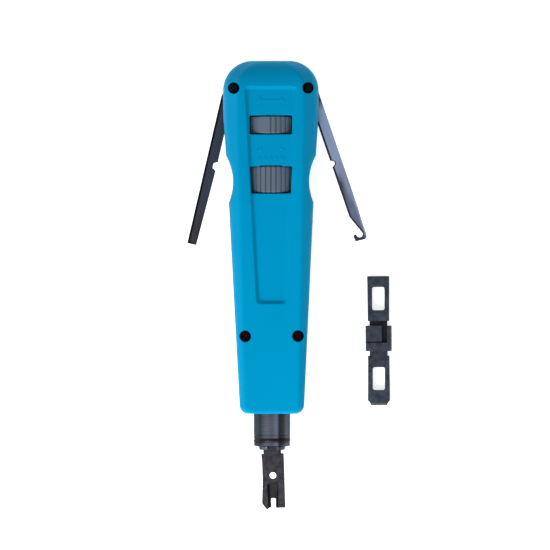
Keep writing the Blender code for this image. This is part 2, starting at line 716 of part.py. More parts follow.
def make_fitted_blade(black_steel):
    """The blade in the nose: a forked end outside, with its cutter on one tine, and a plain end inside."""
    place = (0, FITTED_Y, AXIS_Z)
    half = BLADE_THICKNESS / 2
    blade = hub("blade", *FITTED_HUB, black_steel, place)
    hole = arc((0.05, -12.5), 1.3, 0, 342, 19)
    outer = half_blade("blade_outer", FITTED_TOP, FITTED_END, fork_tip(), place, hole)
    inner_start = FITTED_HUB[1] + NECK_LENGTH
    inner_tip = [(-BLADE_HALF_WIDTH, FITTED_INNER_END), (BLADE_HALF_WIDTH, FITTED_INNER_END)]
    inner = half_blade("blade_inner", inner_start, FITTED_INNER_END, inner_tip, place)
    necks = (FITTED_TOP - 1, inner_start + 1)
    neck = box("blade_neck", (-NECK_HALF_WIDTH, NECK_HALF_WIDTH), necks, (-half, half), None, place)
    fuse(blade, neck, outer, inner)
    channel = [(-2.4, -16.0), (2.1, -16.0), (1.5, -21.7), (1.5, -27), (-1.2, -27), (-1.2, -21.7)]
    cut(blade, prism("channel_cutter", channel, half - 0.9, half + 1, None, place))
    for piece in with_operands(blade):
        piece.rotation_euler.z = FITTED_TURN


def make_spare_blade(black_steel):
    """A second blade with a window in each half, lying flat on the surface that the tool rests on."""
    place = (SPARE_X, SPARE_Y, HUB_HALF_THICKNESS)
    half = BLADE_THICKNESS / 2
    low, high = SPARE_HUB
    blade = hub("spare_blade", low, high, black_steel, place)
    top_start = high + NECK_LENGTH
    low_start = low - NECK_LENGTH
    wide = SPARE_TIP_HALF_WIDTH
    top_tip = [(-wide, SPARE_END), (wide, SPARE_END)]
    low_tip = [(-wide, 1.9 - SPARE_END), (-3.4, 0.8 - SPARE_END), (-3.1, -SPARE_END)]
    low_tip += [(-x, y) for x, y in reversed(low_tip)]
    top_window = rounded_window(2.4, 11.85, 20.85, 0.9)
    low_window = rounded_window(2.35, -19.15, -10.3, 0.9)
    top = half_blade("spare_top", top_start, SPARE_END, top_tip, place, top_window)
    bottom = half_blade("spare_bottom", low_start, -SPARE_END, low_tip, place, low_window)
    necks = (low_start - 1, top_start + 1)
    neck = box("spare_neck", (-NECK_HALF_WIDTH, NECK_HALF_WIDTH), necks, (-half, half), None, place)
    fuse(blade, neck, top, bottom)
    groove_z = (HUB_HALF_THICKNESS - 2.0, HUB_HALF_THICKNESS + 1)
    cut(blade, box("hub_groove_cutter", (1.3, 3.5), (-0.9, high + 1), groove_z, None, place))
    for piece in with_operands(blade):
        piece.rotation_euler.z = SPARE_TURN


def main():
    clear_scene()
    plastic = finish("blue_plastic", (0.0, 0.33, 0.6), 0.45, 0.0)
    wheel_plastic = finish("grey_plastic", (0.14, 0.16, 0.2), 0.5, 0.0)
    arm_steel = finish("blued_steel", (0.09, 0.11, 0.16), 0.35, 0.9)
    black_steel = finish("black_oxide", (0.035, 0.037, 0.045), 0.5, 0.6)
    steel = finish("bright_steel", (0.5, 0.5, 0.52), 0.3, 1.0)
    spring_steel = finish("spring_steel", (0.35, 0.35, 0.38), 0.3, 1.0)
    brass = finish("brass", (0.6, 0.42, 0.16), 0.35, 1.0)
    make_shells(plastic)
    make_screws(black_steel)
    make_arm("spudger", spudger_outline(), -1, SPUDGER_ANGLE, arm_steel)
    make_arm("hook", hook_outline(), 1, HOOK_ANGLE, arm_steel)
    make_pivots(spring_steel, brass)
    make_tube(steel)
    make_nose(brass, black_steel, arm_steel)
    make_stem(steel, spring_steel)
    make_hammer(steel, steel, spring_steel)
    make_force_adjuster(steel, wheel_plastic, spring_steel, steel)
    make_release(wheel_plastic, wheel_plastic)
    make_fitted_blade(black_steel)
    make_spare_blade(black_steel)


main()
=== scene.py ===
"""The looks of an impact punch down tool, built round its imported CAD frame.

Lengths are in millimetres unless a name says otherwise, and the mesh helpers turn them into metres. The
tool lies on its back: X runs across it, Y along it with the head at +Y, and Z up out of its front.
"""

import json
import math

import bmesh
import bpy
from mathutils import Matrix, Vector


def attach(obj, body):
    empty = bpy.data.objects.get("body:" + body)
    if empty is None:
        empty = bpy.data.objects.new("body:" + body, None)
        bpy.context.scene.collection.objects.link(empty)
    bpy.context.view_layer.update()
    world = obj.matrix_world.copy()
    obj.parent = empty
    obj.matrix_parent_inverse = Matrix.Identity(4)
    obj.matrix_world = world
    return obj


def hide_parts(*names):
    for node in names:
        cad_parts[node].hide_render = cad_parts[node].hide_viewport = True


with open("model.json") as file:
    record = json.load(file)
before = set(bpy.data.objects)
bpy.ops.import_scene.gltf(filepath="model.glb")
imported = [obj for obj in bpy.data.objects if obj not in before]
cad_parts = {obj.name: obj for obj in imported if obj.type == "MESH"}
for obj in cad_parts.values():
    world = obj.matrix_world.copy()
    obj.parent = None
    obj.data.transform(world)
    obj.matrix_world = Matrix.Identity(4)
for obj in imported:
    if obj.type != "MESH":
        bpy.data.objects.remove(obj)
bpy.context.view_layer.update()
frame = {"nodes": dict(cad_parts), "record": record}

MM = 0.001
GAP = 0.3
HAIR = 0.0005

# Handle
AXIS_Z = 12.5
FRONT_DEPTH = 11.5
BACK_DEPTH = 12.5
HANDLE_BOTTOM = -68.5
HANDLE_TOP = 68.3
HEAD_Y = 47.0
LOW_WIDTHS = ((HANDLE_BOTTOM, 12.35), (-23.0, 14.65), (13.0, 16.42))
HALF_WIDTHS = (*LOW_WIDTHS, (33.0, 17.5), (HEAD_Y, 18.5), (68.5, 18.5))
HEAD_CORNER = 11.4
BOTTOM_CORNER = 3.2
SCALLOP_Y = 22.5
SCALLOP_HALF_LENGTH = 9.1
SCALLOP_DEPTH = 2.15
CROWN_LENGTH = 11.0
CROWN_END = 3.5
CREASE_AT_BOTTOM = 10.4
CREASE_AT_HEAD = 12.85
FACET_SLOPE = 0.85
END_ROUND = 1.2
SEAM_CHAMFER = 0.25

# Sunk panel, windows and screw holes
PANEL_TOP = 58.5
PANEL_BOTTOM = -26.0
PANEL_TOP_HALF_WIDTH = 10.25
PANEL_BOTTOM_HALF_WIDTH = 5.95
PANEL_DEPTH = 1.3
RELIEF_HEIGHT = 0.16
FORCE_WINDOW = (39.8, 47.1)
RELEASE_WINDOW = (16.9, 27.7)
FORCE_WINDOW_CORNERS = ((8.15, FORCE_WINDOW[0]), (8.25, FORCE_WINDOW[1]))
RELEASE_WINDOW_CORNERS = ((7.6, RELEASE_WINDOW[0]), (8.15, RELEASE_WINDOW[1] - 0.35))
TOP_SCREW = (14.4, 57.7)
LOW_SCREW = (10.25, -38.4)
SCREW_HEAD_TOP = 20.6
SCREW_HOLE_RADIUS = 2.25

# Hollows of the handle
BUSH_CHAMBER_RADIUS = 9.35
TUBE_CHAMBER_RADIUS = 8.5
TUBE_CHAMBER_Y = (-59.7, 14.6)
WASHER_CHAMBER_RADIUS = 6.3
WASHER_CHAMBER_TOP = 48.3
SHAFT_BORE_RADIUS = 2.8
SHAFT_BORE_TOP = 51.0
SLOT_HALF_HEIGHT = 1.05
SPUDGER_SLOT_INSET = 1.05
HOOK_SLOT_INSET = 1.7
KICKER_POCKET_TOP = 31.0

# Thumb wheels
WHEEL_RADIUS = 10.7
WHEEL_RIDGES = 32

# Nose
BARREL_RADIUS = 7.05
RING_PLACE = (0, -78.85, AXIS_Z)
RING_LEAN = math.radians(1.2)
NOSE_END = -82.6

# Fold-out arms
ARM_HALF_THICKNESS = 0.75
ARM_EYE_RADIUS = 3.4
ARM_BORE_RADIUS = 2.65
ARM_LENGTH = 62.5
SPUDGER_ANGLE = math.radians(-13.3)
HOOK_ANGLE = math.radians(18.7)
SPUDGER_OUTER = -3.95
SPUDGER_INNER = 0.5
HOOK_OUTER = 3.4
HOOK_INNER = -0.95
SLOPE_OVERRUN = 0.07
HOOK_NICK = ((HOOK_INNER, -29.4), (0.45, -30.2), (0.45, -31.3), (HOOK_INNER, -32.1))

# Blades
BLADE_HALF_THICKNESS = 1.6
BLADE_HALF_WIDTH = 4.15
NECK_HALF_WIDTH = 3.45
NECK_LENGTH = 1.8
HUB_RADIUS = 5.1
HUB_HALF_THICKNESS = 2.5
FITTED_PLACE = (0.0, -80.0, AXIS_Z)
FITTED_TURN = math.radians(1.2)
FITTED_HUB = (-0.5, 9.4)
FITTED_TOP = -4.0
FITTED_END = -25.2
FITTED_INNER_END = 24.4
FITTED_LEFT = ((4.3, -4.1), (4.05, -7.6), (4.0, -14.6), (4.4, -22.2), (4.4, -23.2))
FITTED_RIGHT = ((4.62, -25.1), (4.45, -4.1))
FORK_HALF_WIDTH = 0.9
FORK_ROOT = -21.3
SPARE_PLACE = (41.57, -40.4, HUB_HALF_THICKNESS)
SPARE_TURN = math.radians(0.2)
SPARE_HUB = (-4.05, 5.85)
SPARE_END = 25.1
SPARE_TIP_HALF_WIDTH = 4.3


# Mesh helpers

def link(name, bm):
    """A linked object from a bmesh in millimetres, with the mesh itself in place and in metres."""
    bmesh.ops.recalc_face_normals(bm, faces=bm.faces)
    bmesh.ops.scale(bm, vec=(MM, MM, MM), verts=bm.verts)
    mesh = bpy.data.meshes.new(name)
    bm.to_mesh(mesh)
    bm.free()
    obj = bpy.data.objects.new(name, mesh)
    bpy.context.scene.collection.objects.link(obj)
    return obj


def loft(name, rings):
    """A closed skin through rings that hold the same number of points."""
    bm = bmesh.new()
    loops = [[bm.verts.new(point) for point in ring] for ring in rings]
    for lower, upper in zip(loops, loops[1:]):
        for i in range(len(lower)):
            j = (i + 1) % len(lower)
            bm.faces.new((lower[i], lower[j], upper[j], upper[i]))
    bm.faces.new(loops[0])
    bm.faces.new(loops[-1])
    return link(name, bm)


def prism(name, outline, low, high, taper=0.0, along="Z"):
    """An outline extruded from low to high. taper shrinks the top ring towards its middle by that share."""
    axis = "XYZ".index(along)
    middle = [sum(p[i] for p in outline) / len(outline) for i in (0, 1)]

    def ring(height, share):
        points = [[m + (c - m) * share for m, c in zip(middle, p)] for p in outline]
        return [(*p[:axis], height, *p[axis:]) for p in points]

    return loft(name, [ring(low, 1.0), ring(high, 1.0 - taper)])


def box(name, xs, ys, zs):
    """A box between two values on each axis."""
    corners = [(xs[0], ys[0]), (xs[1], ys[0]), (xs[1], ys[1]), (xs[0], ys[1])]
    return prism(name, corners, *zs)


def spun(name, profile, centre=(0, 0, AXIS_Z), steps=96, along="Y"):
    """A closed (radius, height) profile spun round a line along the Y or the Z axis."""
    bm = bmesh.new()
    verts = [bm.verts.new((r, h, 0) if along == "Y" else (r, 0, h)) for r, h in profile]
    edges = [bm.edges.new((a, b)) for a, b in zip(verts, verts[1:] + verts[:1])]
    axis = (0, 1, 0) if along == "Y" else (0, 0, 1)
    turn = {"cent": (0, 0, 0), "axis": axis, "angle": 2 * math.pi, "steps": steps, "use_merge": True}
    bmesh.ops.spin(bm, geom=verts + edges, **turn)
    bmesh.ops.remove_doubles(bm, verts=bm.verts, dist=2 * HAIR)
    bmesh.ops.dissolve_degenerate(bm, edges=bm.edges, dist=HAIR)
    bmesh.ops.translate(bm, vec=centre, verts=bm.verts)
    return link(name, bm)


def disc(name, radius, low, high, centre=(0, 0, AXIS_Z), steps=48, along="Y"):
    """A cylinder along the Y or the Z axis."""
    return spun(name, [(0, low), (radius, low), (radius, high), (0, high)], centre, steps, along)


def eased(corners, radii, steps=6):
    """An open line through the corners, with its inner ones rounded off, each by its own radius."""
    made = [corners[0]]
    for before, corner, after, radius in zip(corners, corners[1:], corners[2:], radii):
        back, on = Vector(before) - Vector(corner), Vector(after) - Vector(corner)
        reach = min(radius, 0.48 * back.length, 0.48 * on.length)
        first = Vector(corner) + back.normalized() * reach
        last = Vector(corner) + on.normalized() * reach
        for i in range(steps + 1):
            s = i / steps
            made.append(tuple(first * (1 - s) ** 2 + Vector(corner) * 2 * s * (1 - s) + last * s**2))
    made.append(corners[-1])
    return made


def eased_loop(corners, radius, steps=5):
    """A closed outline with every corner rounded off."""
    around = [corners[-1], *corners, corners[0]]
    return eased(around, [radius] * len(corners), steps)[1:-1]


def arc(centre, radius, start, end, steps):
    """Points on an arc, with its angles in degrees."""
    angles = [math.radians(start + (end - start) * i / steps) for i in range(steps + 1)]
    return [(centre[0] + radius * math.cos(a), centre[1] + radius * math.sin(a)) for a in angles]


def bake(obj):
    """Turns the object's modifiers into its mesh, without the slivers that they leave."""
    shaped = obj.evaluated_get(bpy.context.evaluated_depsgraph_get())
    obj.data = bpy.data.meshes.new_from_object(shaped)
    obj.modifiers.clear()
    bm = bmesh.new()
    bm.from_mesh(obj.data)
    bmesh.ops.remove_doubles(bm, verts=bm.verts, dist=HAIR * MM)
    bmesh.ops.dissolve_degenerate(bm, edges=bm.edges, dist=HAIR * MM)
    bm.to_mesh(obj.data)
    bm.free()
    return obj


def combine(obj, others, operation):
    """Adds the others to the object, or cuts them out of it, and removes them."""
    for other in others:
        modifier = obj.modifiers.new(other.name, "BOOLEAN")
        modifier.operation = operation
        modifier.object = other
    bake(obj)
    for other in others:
        bpy.data.objects.remove(other)
    return obj


def cut(obj, *others):
    """Cuts the others out of the object."""
    return combine(obj, others, "DIFFERENCE")


def fuse(obj, *others):
    """Joins the others to the object."""
    return combine(obj, others, "UNION")


def soften(obj, width, segments=2, angle=35):
    """Rounds every edge that is sharper than angle."""
    bm = bmesh.new()
    bm.from_mesh(obj.data)
    bmesh.ops.dissolve_limit(bm, angle_limit=math.radians(0.4), verts=bm.verts, edges=bm.edges)
    bm.to_mesh(obj.data)
    bm.free()
    modifier = obj.modifiers.new("rounds", "BEVEL")
    modifier.width = width * MM
    modifier.segments = segments
    modifier.limit_method = "ANGLE"
    modifier.angle_limit = math.radians(angle)
    return bake(obj)


def shade(obj, angle=40):
    """Smooth shading with sharp edges, and flat faces that stay flat beside rounds."""
    for face in obj.data.polygons:
        face.use_smooth = True
    obj.data.set_sharp_from_angle(angle=math.radians(angle))
    modifier = obj.modifiers.new("flat_faces", "WEIGHTED_NORMAL")
    modifier.keep_sharp = True
    modifier.weight = 80
    return obj


def placed(obj, place, turn):
    """Turns the mesh about Z and moves it, so that the object itself stays at the origin."""
    obj.data.transform(Matrix.Translation(Vector(place) * MM) @ Matrix.Rotation(turn, 4, "Z"))
    return obj


def paint(obj, index, wanted):
    """Gives a material slot to the faces that wanted accepts by normal and centre in millimetres."""
    for face in obj.data.polygons:
        if wanted(face.normal, face.center / MM):
            face.material_index = index
    return obj


def dress(obj, body, materials, node):
    """Gives a finished piece its materials and its body, and hides the CAD node that it stands for."""
    for material in materials:
        obj.data.materials.append(material)
    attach(obj, body)
    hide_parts(node)


# Materials

class Finish:
    """A node material under construction. Its place is the piece's own coordinates, in metres."""

    def __init__(self, name, metallic=0.0, specular=0.5, sheen=(1.0, 1.0, 1.0)):
        self.material = bpy.data.materials.new(name)
        self.material.use_nodes = True
        self.tree = self.material.node_tree
        self.shader = self.tree.nodes["Principled BSDF"]
        self.put(self.shader, "Metallic", metallic)
        self.put(self.shader, "Specular IOR Level", specular)
        self.put(self.shader, "Specular Tint", (*sheen, 1.0))
        self.place = self.node("ShaderNodeTexCoord").outputs["Object"]

    def node(self, kind, inputs=(), **settings):
        """A new node with its inputs, each a value or a socket to link, and its other settings."""
        made = self.tree.nodes.new(kind)
        for key, value in settings.items():
            setattr(made, key, value)
        for key, value in dict(inputs).items():
            self.put(made, key, value)
        return made

    def put(self, node, key, value):
        """Sets or links one input of a node."""
        if isinstance(value, bpy.types.NodeSocket):
            self.tree.links.new(value, node.inputs[key])
        else:
            node.inputs[key].default_value = value

    def noise(self, scale, detail=3.0, stretch=(1, 1, 1), turn=0.0, roughness=0.55):
        """Noise with scale features to the metre. stretch multiplies that by axis, after a turn about Z."""
        turned = self.node("ShaderNodeMapping", {"Vector": self.place, "Rotation": (0, 0, turn)})
        mapping = self.node("ShaderNodeMapping", {"Vector": turned.outputs["Vector"], "Scale": stretch})
        inputs = {"Vector": mapping.outputs["Vector"], "Scale": scale}
        inputs |= {"Detail": detail, "Roughness": roughness}
        return self.node("ShaderNodeTexNoise", inputs).outputs["Fac"]

    def cells(self, scale):
        """The distance to the nearest of scattered points, with about scale of them to the metre."""
        inputs = {"Vector": self.place, "Scale": scale}
        return self.node("ShaderNodeTexVoronoi", inputs).outputs["Distance"]

    def span(self, value, low, high, start=0.3, end=0.7):
        """Maps value from start..end to low..high, and holds it there."""
        inputs = {"Value": value, "From Min": start, "From Max": end, "To Min": low, "To Max": high}
        return self.node("ShaderNodeMapRange", inputs).outputs["Result"]

    def edge(self, radius):
        """0 on flat and gently curved faces, up to 1 within radius millimetres of sharp edges."""
        bevel = self.node("ShaderNodeBevel", {"Radius": radius * MM}, samples=4)
        normal = self.node("ShaderNodeNewGeometry").outputs["Normal"]
        across = {0: bevel.outputs["Normal"], 1: normal}
        alike = self.node("ShaderNodeVectorMath", across, operation="DOT_PRODUCT").outputs["Value"]
        return self.span(alike, 1.0, 0.0, 0.8, 0.98)

    def crevice(self, distance):
        """0 on open surfaces, up to 1 where other surfaces within distance millimetres close them in."""
        inputs = {"Distance": distance * MM}
        light = self.node("ShaderNodeAmbientOcclusion", inputs, samples=8).outputs["AO"]
        return self.span(light, 1.0, 0.0, 0.25, 0.7)

    def reach(self, origin, direction, start, end):
        """0 to 1 from start to end millimetres along a direction from an origin."""
        origin = tuple(c * MM for c in origin)
        away = self.node("ShaderNodeVectorMath", {0: self.place, 1: origin}, operation="SUBTRACT")
        along = {0: away.outputs["Vector"], 1: direction}
        length = self.node("ShaderNodeVectorMath", along, operation="DOT_PRODUCT").outputs["Value"]
        return self.span(length, 0.0, 1.0, start * MM, end * MM)

    def times(self, a, b):
        """The product of two shares."""
        return self.node("ShaderNodeMath", {0: a, 1: b}, operation="MULTIPLY").outputs["Value"]

    def mix(self, share, first, second):
        """A colour between first and second."""
        made = self.node("ShaderNodeMix", {"Factor": share}, data_type="RGBA")
        for index, colour in ((6, first), (7, second)):
            if isinstance(colour, bpy.types.NodeSocket):
                self.tree.links.new(colour, made.inputs[index])
            else:
                made.inputs[index].default_value = (*colour, 1.0)
        return made.outputs[2]

    def bump(self, height, strength, depth, normal=None):
        """A bump of depth millimetres, on top of another one."""
        inputs = {"Height": height, "Strength": strength, "Distance": depth * MM}
        if normal:
            inputs["Normal"] = normal
        return self.node("ShaderNodeBump", inputs).outputs["Normal"]

    def done(self, colour, roughness, normal=None):
        """The finished material."""
        self.put(self.shader, "Base Color", colour)
        self.put(self.shader, "Roughness", roughness)
        if normal:
            self.put(self.shader, "Normal", normal)
        return self.material


def shades(colour, *amounts):
    """The colour at several brightnesses."""
    return [tuple(min(c * amount, 1.0) for c in colour) for amount in amounts]


def moulded_plastic(name, colour, specular, painted_shade=None):
    """Spark-textured moulded plastic with faint flow marks, rubbed edges and small scuffs, and optional
    painted shade that darkens it where nearby surfaces close it in.
    """
    strongest = max(colour)
    made = Finish(name, specular=specular, sheen=[c / strongest for c in colour])
    darker, lighter, rubbed = shades(colour, 0.93, 1.06, 1.3)
    flow = made.noise(22, 2.0, (1, 0.35, 1))
    tone = made.mix(made.span(flow, 0, 1), darker, lighter)
    speckle = made.noise(3200, 2.0)
    tone = made.mix(made.span(speckle, 0.0, 0.22, 0.45, 0.7), tone, lighter)
    wear = made.times(made.edge(0.3), made.span(made.noise(260, 4.0), 0.1, 0.55))
    tone = made.mix(wear, tone, rubbed)
    if painted_shade:
        # Painted shade: the occlusion mask darkens the colour in gaps and grooves.
        tone = made.mix(made.crevice(1.3), tone, painted_shade)
    scuff = made.noise(90, 6.0, (1, 7, 1), 0.5, 0.7)
    scuffed = made.span(scuff, 0.0, 0.09, 0.66, 0.72)
    rough = made.span(made.noise(60, 4.0), 0.46, 0.6)
    rough = made.node("ShaderNodeMath", {0: rough, 1: scuffed}, operation="SUBTRACT").outputs["Value"]
    normal = made.bump(made.noise(26, 1.0), 0.12, 0.5)
    normal = made.bump(made.noise(2300, 2.0), 0.3, 0.03, normal)
    return made.done(tone, rough, normal)


def brushed_steel(name, colour, turn=0.0, roughness=(0.3, 0.46), stretch=(1, 0.03, 1), bands=()):
    """Steel with grinding lines. turn is the angle of its length from Y.

    Each band is a colour laid over part of the steel, for wear, tone changes and painted reflections, and
    strips that limit it. A strip is an origin, a direction, and how far along it the band starts, is full,
    wanes and ends.
    """
    made = Finish(name, metallic=0.92, sheen=(0.45, 0.47, 0.5))
    darker, lighter, bare = shades(colour, 0.85, 1.12, 1.5)
    lines = made.noise(2600, 3.0, stretch, -turn, 0.7)
    tone = made.mix(made.span(lines, 0, 1), darker, lighter)
    for tint, *strips in bands:
        share = made.span(made.noise(150, 4.0), 0.7, 1.0)
        for origin, direction, (start, full, wane, end) in strips:
            share = made.times(share, made.reach(origin, direction, start, full))
            share = made.times(share, made.reach(origin, [-c for c in direction], -end, -wane))
        tone = made.mix(share, tone, made.mix(made.span(lines, 0, 1), *shades(tint, 0.85, 1.15)))
    specks = made.span(made.cells(420), 0.5, 0.0, 0.04, 0.12)
    tone = made.mix(made.times(specks, made.span(made.noise(130), 0, 1, 0.5, 0.62)), tone, darker)
    wear = made.times(made.edge(0.15), made.span(made.noise(320, 4.0), 0.0, 0.4))
    tone = made.mix(wear, tone, bare)
    rough = made.span(lines, *roughness)
    return made.done(tone, rough, made.bump(lines, 0.22, 0.02))


def turned_steel(name, colour, roughness=(0.26, 0.4), bands=()):
    """Steel off a lathe, with fine rings along Y."""
    return brushed_steel(name, colour, 0.0, roughness, (0.012, 0.6, 0.012), bands)


def black_oxide(name, colour, shine, blotches=(0.0, 0.75)):
    """Heat-blackened steel: patchy, pitted and rubbed a little brighter along its edges."""
    made = Finish(name, metallic=0.75, sheen=(0.5, 0.5, 0.5))
    darker, lighter, bare = shades(colour, 0.55, 1.6, 2.6)
    patches = made.noise(420, 5.0, roughness=0.7)
    tone = made.mix(made.span(patches, *blotches, 0.38, 0.64), darker, lighter)
    large = made.noise(90, 3.0)
    tone = made.mix(made.span(large, 0.0, 0.45), tone, colour)
    wear = made.times(made.edge(0.2), made.span(made.noise(500, 4.0), 0.0, 0.55))
    tone = made.mix(wear, tone, bare)
    rough = made.span(patches, *shine)
    pits = made.bump(made.cells(1500), 0.25, 0.05)
    return made.done(tone, rough, made.bump(patches, 0.45, 0.08, pits))


# Handle

def straight_half_width(y):
    """The handle's half width from its straight tapers alone."""
    for (y0, w0), (y1, w1) in zip(HALF_WIDTHS, HALF_WIDTHS[1:]):
        if y0 <= y <= y1:
            return w0 + (w1 - w0) * (y - y0) / (y1 - y0)
    return HALF_WIDTHS[-1][1]


def base_half_width(y):
    """The handle's half width with its rounded corners, before the scallops."""
    width = straight_half_width(y)
    over = y - (HANDLE_TOP - HEAD_CORNER)
    if over > 0:
        width -= HEAD_CORNER - math.sqrt(max(HEAD_CORNER**2 - over**2, 0))
    under = HANDLE_BOTTOM + BOTTOM_CORNER - y
    if under > 0:
        width -= BOTTOM_CORNER - math.sqrt(max(BOTTOM_CORNER**2 - under**2, 0))
    return width


def scallop(y):
    """How far the finger scallop cuts into the side."""
    along = (y - SCALLOP_Y) / SCALLOP_HALF_LENGTH
    return SCALLOP_DEPTH * max(1 - along**2, 0)


def face_height(y, depth):
    """The front or back face's distance from the axis, with the head's crown and the rounded bottom edge."""
    over = y - (HANDLE_TOP - CROWN_LENGTH)
    under = HANDLE_BOTTOM + END_ROUND - y
    if over > 0:
        share = math.sqrt(max(1 - (over / CROWN_LENGTH) ** 2, 0))
        return CROWN_END + (depth - CROWN_END) * share
    if under > 0:
        return depth - END_ROUND + math.sqrt(max(END_ROUND**2 - under**2, 0))
    return depth


def shell_section(y, depth, side):
    """One shell's outline across the handle, with a small chamfer at the seam and rounded facets."""
    share = min((y - HANDLE_BOTTOM) / (HEAD_Y - HANDLE_BOTTOM), 1)
    straight_crease = CREASE_AT_BOTTOM + (CREASE_AT_HEAD - CREASE_AT_BOTTOM) * share
    crease = straight_crease + base_half_width(y) - straight_half_width(y)
    width = base_half_width(y) - scallop(y)
    height = face_height(y, depth)
    drop = FACET_SLOPE * (width - crease) * (height - END_ROUND) / (depth - END_ROUND)
    seam = GAP / 2
    corners = [(width - SEAM_CHAMFER, seam), (width, seam + SEAM_CHAMFER), (width, height - drop)]
    corners += [(crease, height), (0.0, height)]
    half = eased(corners, (0.1, 3.0, 0.9), 6)[:-1]
    right = [(x, y, AXIS_Z + side * h) for x, h in half]
    left = [(-x, y, z) for x, y, z in reversed(right)]
    return right + left


def handle_stations():
    """The Y places of the shell's sections, close together where the outline bends."""
    bottom = [HANDLE_BOTTOM + BOTTOM_CORNER * (1 - math.cos(math.radians(a))) for a in range(0, 91, 9)]
    waist = [SCALLOP_Y + SCALLOP_HALF_LENGTH * i / 16 for i in range(-16, 17)]
    top = [HANDLE_TOP - HEAD_CORNER + HEAD_CORNER * math.sin(math.radians(a)) for a in range(0, 91, 4)]
    plain = [-60, -50, -40, -30, -23, -14, -5, 4, 12, 33, 40, 47, 52]
    crown = [HANDLE_TOP - CROWN_LENGTH, HANDLE_TOP - CROWN_LENGTH + 0.5]
    return sorted(set(round(y, 3) for y in bottom + waist + top + plain + crown))


def panel_outline(inset, z):
    """The sunk panel's outline, drawn in by inset."""
    top, low = PANEL_TOP_HALF_WIDTH - inset, PANEL_BOTTOM_HALF_WIDTH - inset
    corners = [(-low, PANEL_BOTTOM + inset), (low, PANEL_BOTTOM + inset)]
    corners += [(top, PANEL_TOP - inset), (-top, PANEL_TOP - inset)]
    return [(x, y, z) for x, y in eased_loop(corners, 1.9 - inset * 0.55, 6)]


def panel_cutter():
    """The sunk panel's pan, with sloping walls that are rounded at the top and filleted at the floor."""
    wall = [(-0.55, 0.6), (-0.5, 0.03), (0.0, 0.0)]
    wall += [(PANEL_DEPTH, -PANEL_DEPTH), (PANEL_DEPTH + 0.7, -PANEL_DEPTH)]
    profile = eased(wall, (0.01, 0.6, 0.5), 5)
    face = AXIS_Z + FRONT_DEPTH
    return loft("panel_cutter", [panel_outline(inset, face + h) for inset, h in profile])


def window_cutter(name, low, high):
    """A window through the panel's floor with its rim eased, from its lower and upper right corners."""
    floor = AXIS_Z + FRONT_DEPTH - PANEL_DEPTH

    def ring(growth, z):
        right = [(low[0] + growth, low[1] - growth), (high[0] + growth, high[1] + growth)]
        left = [(-x, y) for x, y in reversed(right)]
        return [(x, y, z) for x, y in eased_loop(right + left, 0.5 + growth, 3)]

    rim = [(0.0, AXIS_Z + 2), (0.0, floor - 0.3), (0.1, floor - 0.1), (0.25, floor), (0.25, floor + 3)]
    return loft(name, [ring(growth, z) for growth, z in rim])


def relief_marks():
    """Raised marks on the panel: a two-way arrow above the upper wheel, and two rows above the lower."""
    floor = AXIS_Z + FRONT_DEPTH - PANEL_DEPTH
    z = (floor - 0.3, floor + RELIEF_HEIGHT)
    arrow = [(-6.0, 52.6), (-4.0, 54.3), (-4.0, 53.2), (4.0, 53.2), (4.0, 54.3), (6.0, 52.6)]
    arrow += [(4.0, 50.9), (4.0, 52.0), (-4.0, 52.0), (-4.0, 50.9)]
    marks = [prism("force_mark", arrow, *z, 0.06)]
    for side in (-1, 1):
        outline = [(side * x, y) for x, y in ((3.2, 35.1), (3.2, 32.3), (6.2, 33.7))]
        marks.append(prism("release_mark", outline, *z, 0.25))
    for i in range(5):
        x = -4.4 + 2.2 * i
        bar = [(x - 0.55, 29.6), (x + 0.55, 29.6), (x + 0.55, 31.2), (x - 0.55, 31.2)]
        marks.append(prism("release_bar", bar, *z, 0.35))
    return marks


def core_cutter():
    """The bores along the axis: nose mouth, nose bush, tube, wheel chambers and shaft bearings."""
    chamber = WHEEL_RADIUS + GAP
    steps = [
        (BARREL_RADIUS + 0.75, HANDLE_BOTTOM - 1, HANDLE_BOTTOM + 0.1),
        (BARREL_RADIUS + 0.4, HANDLE_BOTTOM + 0.4, HANDLE_BOTTOM + 1.4),
        (BUSH_CHAMBER_RADIUS, HANDLE_BOTTOM + 1.4, TUBE_CHAMBER_Y[0]),
        (TUBE_CHAMBER_RADIUS, *TUBE_CHAMBER_Y),
        (SHAFT_BORE_RADIUS, TUBE_CHAMBER_Y[1], RELEASE_WINDOW[0]),
        (chamber, *RELEASE_WINDOW),
        (SHAFT_BORE_RADIUS, RELEASE_WINDOW[1], FORCE_WINDOW[0]),
        (chamber, *FORCE_WINDOW),
        (WASHER_CHAMBER_RADIUS, FORCE_WINDOW[1], WASHER_CHAMBER_TOP),
        (SHAFT_BORE_RADIUS, WASHER_CHAMBER_TOP, SHAFT_BORE_TOP),
    ]
    profile = [(0, steps[0][1])]
    for radius, low, high in steps:
        profile += [(radius, low), (radius, high)]
    profile.append((0, steps[-1][2]))
    return spun("core_cutter", profile, steps=96)


def slot_cutter(side, inset):
    """The slot that an arm folds into, open at the side and round the head's corner."""
    x, y = TOP_SCREW
    rim = 4.1
    outline = [(24, -6.5), (24, 76), (x + 6, 76)]
    outline += arc((x, y), rim, 150, 180, 4)
    outline += [(x - rim, 53.5), (x - inset, 49.5), (x - inset - 1.6, 6), (9.7, 1), (9.7, -6.5)]
    outline = [(side * px, py) for px, py in outline]
    return prism("slot_cutter", outline, AXIS_Z - SLOT_HALF_HEIGHT, AXIS_Z + SLOT_HALF_HEIGHT)


def screw_places():
    """The four case screws by the names of their places."""
    for side, across in (("left", -1), ("right", 1)):
        for level, (x, y) in (("top", TOP_SCREW), ("low", LOW_SCREW)):
            yield f"{side}_{level}", across * x, y


